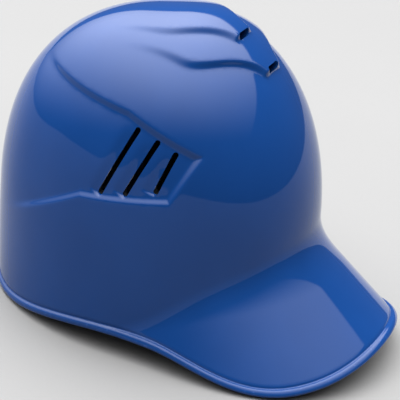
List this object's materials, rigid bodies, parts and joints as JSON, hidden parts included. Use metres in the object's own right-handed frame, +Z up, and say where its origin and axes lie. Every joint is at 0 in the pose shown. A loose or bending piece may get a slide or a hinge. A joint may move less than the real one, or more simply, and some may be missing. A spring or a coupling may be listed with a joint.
{
  "type": "batting helmet",
  "caption": "Skull-style batting helmet with an integral brim, slotted side vents, stepped crown vents, foam lining and removable comfort pads.",
  "frame": {"origin": "below the middle of the head shell, on the table the rim rests on", "axes": "+Z up through the crown, -Y out over the brim, +X to the wearer's left"},
  "size_m": [0.2094, 0.2872, 0.2085],
  "materials": {
    "shell_plastic": "high-gloss injection-moulded plastic",
    "impact_foam": "closed-cell black foam",
    "pad_fabric": "brushed knit over soft foam",
    "hook_tape": "woven tape with stiff hooks",
    "loop_tape": "napped loop tape"
  },
  "bodies": {
    "helmet": {"shell": "shell_plastic", "liner_front": "impact_foam", "liner_rear": "impact_foam", "liner_left": "impact_foam", "liner_right": "impact_foam", "liner_crown": "impact_foam", "hook_front": "hook_tape", "hook_rear_left": "hook_tape", "hook_rear_right": "hook_tape", "hook_left": "hook_tape", "hook_right": "hook_tape", "hook_crown": "hook_tape"},
    "brow_pad": {"pad_front": "pad_fabric", "loop_front": "loop_tape"},
    "nape_pad_left": {"pad_rear_left": "pad_fabric", "loop_rear_left": "loop_tape"},
    "nape_pad_right": {"pad_rear_right": "pad_fabric", "loop_rear_right": "loop_tape"},
    "side_pad_left": {"pad_left": "pad_fabric", "loop_left": "loop_tape"},
    "side_pad_right": {"pad_right": "pad_fabric", "loop_right": "loop_tape"},
    "crown_pad": {"pad_crown": "pad_fabric", "loop_crown": "loop_tape"}
  },
  "joints": [
    {"name": "brow_pad_peel", "type": "slide", "parent": "helmet", "child": "brow_pad", "axis": [0, 1, 0], "range_m": [0, 0.012]},
    {"name": "nape_pad_left_peel", "type": "slide", "parent": "helmet", "child": "nape_pad_left", "axis": [-0.5501, -0.8351, 0], "range_m": [0, 0.012]},
    {"name": "nape_pad_right_peel", "type": "slide", "parent": "helmet", "child": "nape_pad_right", "axis": [0.5501, -0.8351, 0], "range_m": [0, 0.012]},
    {"name": "side_pad_left_peel", "type": "slide", "parent": "helmet", "child": "side_pad_left", "axis": [-1, 0, 0], "range_m": [0, 0.012]},
    {"name": "side_pad_right_peel", "type": "slide", "parent": "helmet", "child": "side_pad_right", "axis": [1, 0, 0], "range_m": [0, 0.012]},
    {"name": "crown_pad_peel", "type": "slide", "parent": "helmet", "child": "crown_pad", "axis": [0, 0, -1], "range_m": [0, 0.012]}
  ]
}
